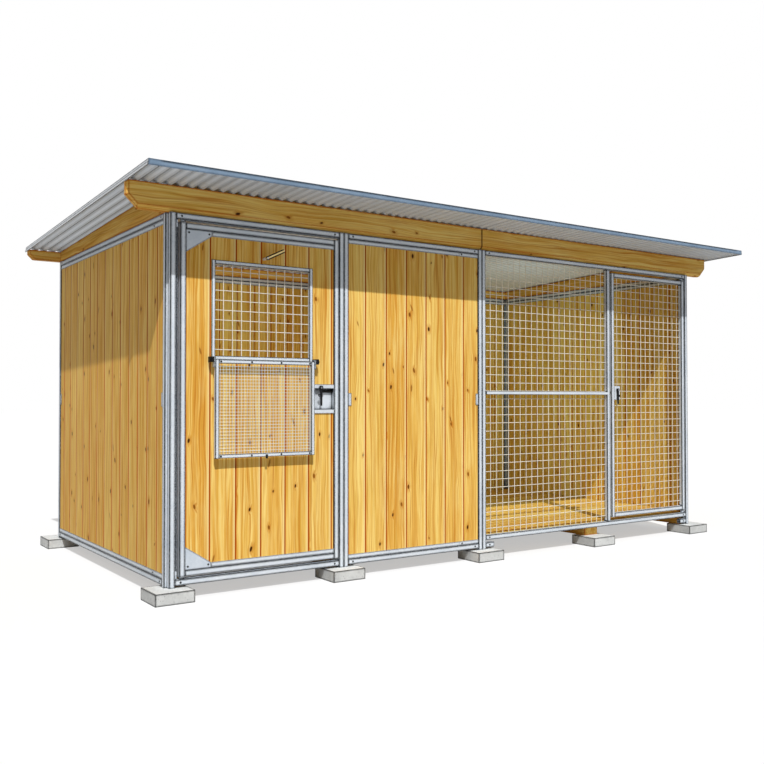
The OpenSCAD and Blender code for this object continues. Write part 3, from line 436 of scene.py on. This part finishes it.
def zinc(name, light, dark, square=False, gap=ZINC_GAP, rim=0.0, crossed=None):
    """Galvanised steel with a soft spangle and painted shade in its creases, for square tube or other shapes.

    gap is the width of a crease that gets painted shade, and rim how far the dark of an edge reaches.
    crossed is a node: a slim bar that lies across it keeps bright edges.
    """
    made, tree, shader = material(name)
    coords, normal = own_frame(tree)
    spangle = add(tree, "ShaderNodeTexVoronoi", {"Vector": coords, "Scale": SPANGLE_SCALE, "Randomness": 1.0})
    flakes = channels(tree, spangle.outputs["Color"])[0]
    cloud = noise(tree, coords, CLOUD_SCALE, 4.0)
    shade = calc(tree, "MULTIPLY_ADD", flakes, SPANGLE_SHADE, calc(tree, "MULTIPLY", cloud, CLOUD_SHADE))
    colour = ramp(tree, shade, [(0.25, dark), (0.75, light)])
    # Painted shade in narrow gaps and recesses
    colour = mix(tree, stretch(tree, crease(tree, gap), *CREASE_OPEN), ZINC_SHADE_AND_EDGE, colour)
    if square:
        colour = mix(tree, corners(tree, normal), colour, ZINC_SHADE_AND_EDGE)
    if rim:
        dark_edge = edges(tree, rim)
        if crossed:
            dark_edge = calc(tree, "MULTIPLY", dark_edge, beyond(tree, coords, crossed))
        colour = mix(tree, dark_edge, colour, ZINC_SHADE_AND_EDGE)
    roughness = calc(tree, "MULTIPLY_ADD", flakes, SPANGLE_ROUGHNESS, ZINC_ROUGHNESS)
    surface(tree, shader, colour, roughness, ZINC_METAL)
    bump(tree, shader, cloud, **ZINC_BUMP)
    return made


def coated(name, colour, worn, roughness=COAT_ROUGHNESS, rim=COAT_RIM, wave_shade=None, top_darkening=None):
    """Coated sheet with faint clouds, worn streaks down the slope and dark rims.

    rim is how far the dark of an edge reaches. wave_shade is the colour of painted shade on the crests
    and right flanks of the underside of a corrugated sheet, which has no rims, and top_darkening what its top
    is multiplied by, so the underside, which lies in shade, is painted lighter than the top.
    """
    made, tree, shader = material(name)
    coords, normal = own_frame(tree)
    streak = noise(tree, scaled(tree, axes(tree, coords), COAT_STREAK_SCALES), detail=5.0)
    speckle = noise(tree, coords, COAT_SPECKLE_SCALE, 2.0)
    streak_shade = calc(tree, "MULTIPLY", streak, COAT_STREAK_SHADE)
    shade = calc(tree, "MULTIPLY_ADD", speckle, COAT_SPECKLE_SHADE, streak_shade)
    sheet = ramp(tree, shade, [(0.3, worn), (0.7, colour)])
    if wave_shade:
        # Painted shade on the underside's crests and right flanks, and the top painted darker than the
        # underside
        facing = axes(tree, normal)
        flank = stretch(tree, facing[X], *SHADED_FLANK)
        below = stretch(tree, facing[Z], *UNDERSIDE)
        darker_top = mix(tree, 1.0, sheet, top_darkening, "MULTIPLY")
        sheet = mix(tree, below, darker_top, mix(tree, flank, sheet, wave_shade))
    else:
        sheet = mix(tree, edges(tree, rim), sheet, ZINC_SHADE_AND_EDGE)
    streaked = calc(tree, "MULTIPLY_ADD", streak, COAT_STREAK_ROUGHNESS, roughness)
    surface(tree, shader, sheet, streaked, COAT_METAL)
    bump(tree, shader, speckle, **COAT_BUMP)
    return made


def concrete(name):
    """Cast concrete with sand speckle, pores, damp clouds and dark edges."""
    made, tree, shader = material(name)
    coords, normal = own_frame(tree)
    damp = noise(tree, coords, DAMP_SCALE, 5.0, 0.6)
    sand = noise(tree, coords, SAND_SCALE, 2.0)
    pores = add(tree, "ShaderNodeTexVoronoi", {"Vector": coords, "Scale": PORE_SCALE}).outputs["Distance"]
    solid = stretch(tree, pores, *PORE_SIZE)
    shade = calc(tree, "MULTIPLY_ADD", sand, SAND_SHADE, calc(tree, "MULTIPLY", damp, DAMP_SHADE))
    colour = ramp(tree, shade, CONCRETE_TONES)
    colour = mix(tree, calc(tree, "SUBTRACT", 1.0, solid), colour, CONCRETE_PORE)
    rim = calc(tree, "MAXIMUM", edges(tree, CONCRETE_RIM), corners(tree, normal))
    colour = mix(tree, rim, colour, CONCRETE_EDGE)
    surface(tree, shader, colour, CONCRETE_ROUGHNESS, gloss=CONCRETE_GLOSS)
    bump(tree, shader, calc(tree, "MULTIPLY_ADD", sand, SAND_HEIGHT, solid), **CONCRETE_BUMP)
    return made


def black_fitting(name):
    """Black coated fitting with rubbed lighter spots."""
    made, tree, shader = material(name)
    coords, _ = own_frame(tree)
    rub = noise(tree, coords, RUB_SCALE, 4.0)
    roughness = calc(tree, "MULTIPLY_ADD", rub, RUB_ROUGHNESS, BLACK_ROUGHNESS)
    surface(tree, shader, ramp(tree, rub, BLACK_TONES), roughness)
    bump(tree, shader, rub, **BLACK_BUMP)
    return made


def yellow_zinc(name, bar, pivot):
    """Pale yellow passivated steel with a drift of hue, for a pivoting bar with painted shade on its sides.
    """
    made, tree, shader = material(name)
    coords, normal = own_frame(tree)
    place = axes(tree, coords)
    drift = noise(tree, coords, DRIFT_SCALE, 3.0)
    middle = sum(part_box(bar), Vector()) / 2
    centre = sum(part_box(pivot), Vector()) / 2
    length = math.hypot(middle.x - centre.x, middle.z - centre.z)
    level = (middle.x - centre.x) / length
    rise = (middle.z - centre.z) / length
    # Distance from the line along the bar through its pivot
    aside = calc(tree, "MULTIPLY_ADD", place[Z], level, rise * centre.x - level * centre.z)
    aside = calc(tree, "ABSOLUTE", calc(tree, "MULTIPLY_ADD", place[X], -rise, aside))
    # Painted shade on the bar's sides, and a dark outline along the edges of its face
    turned = stretch(tree, calc(tree, "ABSOLUTE", axes(tree, normal)[Y]), *SIDE_TURN)
    side = calc(tree, "MAXIMUM", turned, stretch(tree, aside, *SIDE_REACH))
    colour = mix(tree, side, ramp(tree, drift, YELLOW_TONES), YELLOW_SHADE_AND_OUTLINE)
    surface(tree, shader, colour, YELLOW_ROUGHNESS, YELLOW_METAL)
    return made


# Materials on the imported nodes

# Width that a wall board covers, and the least width of a wall's first and last board, in metres
BOARD_COVER = 0.142
EDGE_BOARD = 0.085
# Shift of the service door's joints, and the rear wall's first joint and its shift at mid length, in metres
DOOR_JOINT_SHIFT = -0.014
REAR_FIRST_JOINT = 0.118
REAR_JOINT_SHIFT = 0.012
# The left wall's joints are drawn wider, in board widths
LEFT_JOINT_LINE = 0.05
DECK_BOARDS = 7
# Strips that joists and timbers take their grain from, and where a timber's strip starts, in metres
JOIST_STRIP = 0.5
TIMBER_STRIP = 1.4
TIMBER_STRIP_LOW = 1.0
# Tints of the right and rear walls, greener as painted light against warm bounced light, and of the deck
RUN_LIGHT_TINT = (0.98, 1.06, 0.98)
DECK_TINT = (0.84, 0.86, 0.80)
# How far dark edges reach on square tube, slim tube and locks, plates, and verges, in metres
TUBE_RIM = 0.011
SLIM_RIM = 0.007
PLATE_RIM = 0.009
VERGE_RIM = 0.009
# Width of the creases that get painted shade on fine wire, locks and the rear corner's tubes, in metres
FINE_GAP = 0.004
LOCK_GAP = 0.045
REAR_GAP = 0.08
# The roof sheet is duller than the flashings
ROOF_ROUGHNESS = 0.4
TUBE_COLOURS = (linear("#e3e9ef"), linear("#cbd4de"))


def wall_pine(name, node, across, seed, shift=0.0, **looks):
    """Pine for the upright boards of a node, which are laid out from its middle."""
    low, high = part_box(node)
    width = high[across] - low[across]
    inner = math.floor((width - 2.0 * EDGE_BOARD) / BOARD_COVER) + 1
    first_joint = low[across] + (width - (inner - 1) * BOARD_COVER) / 2 + shift
    return pine(name, Z, across, first_joint, BOARD_COVER, seed, **looks)


def timber_pine(name, along, seed, butt=None):
    """Pine for a roof timber that runs along an axis."""
    return pine(name, along, Z, TIMBER_STRIP_LOW, TIMBER_STRIP, seed, joints=False, butt=butt)


deck_low, deck_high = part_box("floor_deck")
deck_pitch = (deck_high.y - deck_low.y) / DECK_BOARDS
rear_low, rear_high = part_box("rear_wall_boards")
rear_middle = (rear_low.x + rear_high.x) / 2
beam_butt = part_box("mesh_bay_frame")[0].x
wood = {
    "panel_bay_boards": wall_pine("pine_panel", "panel_bay_boards", X, 3.0),
    "service_door_boards": wall_pine("pine_door", "service_door_boards", X, 21.0, DOOR_JOINT_SHIFT),
    "left_wall_boards": wall_pine("pine_left", "left_wall_boards", Y, 45.0, line=LEFT_JOINT_LINE),
    "right_wall_boards": wall_pine("pine_right", "right_wall_boards", Y, 77.0, tint=RUN_LIGHT_TINT),
    "rear_wall_boards": pine("pine_rear", Z, X, rear_low.x + REAR_FIRST_JOINT, BOARD_COVER, 101.0,
                             split=(rear_middle, REAR_JOINT_SHIFT), tint=RUN_LIGHT_TINT),
    "partition_boards": wall_pine("pine_partition", "partition_boards", Y, 139.0),
    "floor_deck": pine("pine_deck", X, Y, deck_low.y, deck_pitch, 171.0, joints=False, tint=DECK_TINT),
    "floor_joists": pine("pine_joist", Y, X, 0.0, JOIST_STRIP, 203.0, joints=False),
    "front_beam": timber_pine("pine_front_beam", X, 231.0, beam_butt),
    "rear_beam": timber_pine("pine_rear_beam", X, 262.0, beam_butt),
    "tapered_timbers": timber_pine("pine_timber", Y, 295.0),
}
tubes = zinc("zinc_tube", *TUBE_COLOURS, square=True, rim=TUBE_RIM)
mesh_bay_tubes = zinc("zinc_mesh_bay", *TUBE_COLOURS, square=True, rim=TUBE_RIM, crossed="mesh_bay_mesh")
rear_tubes = zinc("zinc_rear_tube", *TUBE_COLOURS, square=True, rim=TUBE_RIM, gap=REAR_GAP)
slim = zinc("zinc_slim_tube", linear("#e6ecf2"), linear("#d0d9e3"), square=True, rim=SLIM_RIM)
wire = zinc("zinc_wire", linear("#f2eee2"), linear("#dedacd"))
fine_wire = zinc("zinc_fine_wire", linear("#e4f2f6"), linear("#d8e6ea"), gap=FINE_GAP)
plate = zinc("zinc_plate", linear("#dbe2ea"), linear("#c2ccd7"), rim=PLATE_RIM)
lock = zinc("zinc_lock", linear("#e2e8ee"), linear("#c8d0d9"), gap=LOCK_GAP, rim=SLIM_RIM)
by_slot = {
    "galvanised": tubes,
    # The roof's underside is painted lighter than its top, and painted shade lies on its wave flanks
    "roof_sheet": coated("roof_zinc", linear("#f0f5fb"), linear("#dee6ee"), ROOF_ROUGHNESS,
                         wave_shade=linear("#737b84"), top_darkening=linear("#b2b8be")),
    "front_trim": coated("front_coat", linear("#8ba0b6"), linear("#70869d")),
    "verge_trim": coated("verge_coat", linear("#eef1f4"), linear("#e2e6ea"), rim=VERGE_RIM),
    "concrete": concrete("concrete"),
    "black": black_fitting("black_fitting"),
    "yellow_zinc": yellow_zinc("yellow_zinc", "turn_button", "turn_button_post"),
}
special = {
    "mesh_bay_frame": mesh_bay_tubes,
    "rear_wall_frame": rear_tubes,
    "right_wall_frame": rear_tubes,
    "window_frame": slim,
    "flap_frame": slim,
    "mesh_bay_mesh": wire,
    "run_door_mesh": wire,
    "window_mesh": wire,
    "turn_button_post": wire,
    "flap_mesh": fine_wire,
    "service_door_gussets": plate,
    "hinge_filler_strip": plate,
    "door_bushes": plate,
    "flap_ears": plate,
    "service_lock_box": lock,
    "run_lock_case": lock,
}
slots = {part["node"]: part["material_slot"] for part in frame["record"]["subparts"]}
for name, obj in nodes.items():
    chosen = wood.get(name) or special.get(name) or by_slot[slots[name]]
    obj.data.materials.clear()
    obj.data.materials.append(chosen)


# Floor, light and camera

# Side of the floor in metres, the light it sends back, the light it shows, and the share of plain white in it
FLOOR_SIZE = 120.0
FLOOR_BOUNCE = 0.45
FLOOR_SHOWN = 0.90
FLOOR_WHITE = 0.50
# Even light from all round
WORLD_FILL = 0.25
# Where the sun stands, its strength, and its width in degrees
SUN_FROM = (-0.213, -0.557, 0.803)
SUN_STRENGTH = 3.44
SUN_WIDTH = 0.6
# Side of the panel lamps inside the boarded room and the run, in metres
FILL_SIZE = 0.9
# Each lamp's place, the point it looks at, its power and its colour
FILLS = {
    "room_fill": ((-1.05, -0.45, 1.20), (-1.05, 0.9, 1.10), 9.0, (0.86, 0.93, 0.90)),
    "run_fill": ((0.95, -0.45, 1.20), (1.05, 0.9, 1.10), 7.0, (0.68, 0.96, 1.0)),
}
# The camera's place, and its turn from +Y to +X and upwards, in degrees
CAMERA_PLACE = (-3.602, -5.055, 0.987)
CAMERA_YAW = 34.43
CAMERA_PITCH = 1.04
# Its lens and sensor in millimetres, and how far it sees in metres
CAMERA_LENS = 41.98
CAMERA_SENSOR = 36.0
CAMERA_SIGHT = 500.0


def seen_rays(tree):
    """1 for the rays that show the surroundings to the camera, in gloss or through glass."""
    path = add(tree, "ShaderNodeLightPath").outputs
    return calc(tree, "MAXIMUM", path["Is Camera Ray"],
                calc(tree, "MAXIMUM", path["Is Glossy Ray"], path["Is Transmission Ray"]))


def grey(value):
    """Grey of one level, as a socket takes it."""
    return (value, value, value, 1.0)


def studio_floor():
    """Pale ground that looks white, keeps the shadow and sends back only a part of the light."""
    bpy.ops.mesh.primitive_plane_add(size=FLOOR_SIZE)
    ground = bpy.context.object
    ground.name = "studio_floor"
    made, tree, shader = material("studio_floor")
    surface(tree, shader, grey(FLOOR_BOUNCE), 1.0, gloss=0.0)
    pale = add(tree, "ShaderNodeBsdfDiffuse", {"Color": grey(FLOOR_SHOWN)})
    white = add(tree, "ShaderNodeEmission", {"Color": grey(1.0), "Strength": 1.0})
    look = add(tree, "ShaderNodeMixShader", {0: FLOOR_WHITE, 1: pale.outputs[0], 2: white.outputs[0]})
    blend = add(tree, "ShaderNodeMixShader", {0: seen_rays(tree), 1: shader.outputs[0], 2: look.outputs[0]})
    tree.links.new(blend.outputs[0], tree.nodes["Material Output"].inputs["Surface"])
    ground.data.materials.append(made)


def studio_world():
    """White surroundings for camera and gloss, and a weaker even fill for the light on the object."""
    world = bpy.data.worlds.new("studio")
    bpy.context.scene.world = world
    world.use_nodes = True
    tree = world.node_tree
    background = tree.nodes["Background"]
    background.inputs["Color"].default_value = grey(1.0)
    strength = calc(tree, "MULTIPLY_ADD", seen_rays(tree), 1.0 - WORLD_FILL, WORLD_FILL)
    tree.links.new(strength, background.inputs["Strength"])


def lamp(name, kind, energy, source):
    """A lamp that shines from the side that a direction points to, and its data."""
    data = bpy.data.lights.new(name, kind)
    data.energy = energy
    made = bpy.data.objects.new(name, data)
    made.rotation_mode = "QUATERNION"
    made.rotation_quaternion = Vector(source).to_track_quat("Z", "Y")
    bpy.context.scene.collection.objects.link(made)
    return made, data


def sun():
    """Soft key light."""
    _, data = lamp("key", "SUN", SUN_STRENGTH, SUN_FROM)
    data.angle = math.radians(SUN_WIDTH)


def fill_lamp(name, place, target, energy, colour):
    """Soft panel lamp that lightens a room from its front and looks at a point."""
    made, data = lamp(name, "AREA", energy, Vector(place) - Vector(target))
    made.location = place
    made.visible_camera = False
    data.color = colour
    data.size = FILL_SIZE


def camera():
    """Camera that looks along +Y, turned towards +X by its yaw and up by its pitch."""
    data = bpy.data.cameras.new("camera")
    data.sensor_width = CAMERA_SENSOR
    data.lens = CAMERA_LENS
    data.clip_end = CAMERA_SIGHT
    eye = bpy.data.objects.new("camera", data)
    eye.location = CAMERA_PLACE
    eye.rotation_euler = (math.radians(90.0 + CAMERA_PITCH), 0.0, math.radians(-CAMERA_YAW))
    bpy.context.scene.collection.objects.link(eye)
    bpy.context.scene.camera = eye


studio_floor()
studio_world()
sun()
for name, settings in FILLS.items():
    fill_lamp(name, *settings)
camera()
bpy.context.scene.view_settings.view_transform = "Standard"
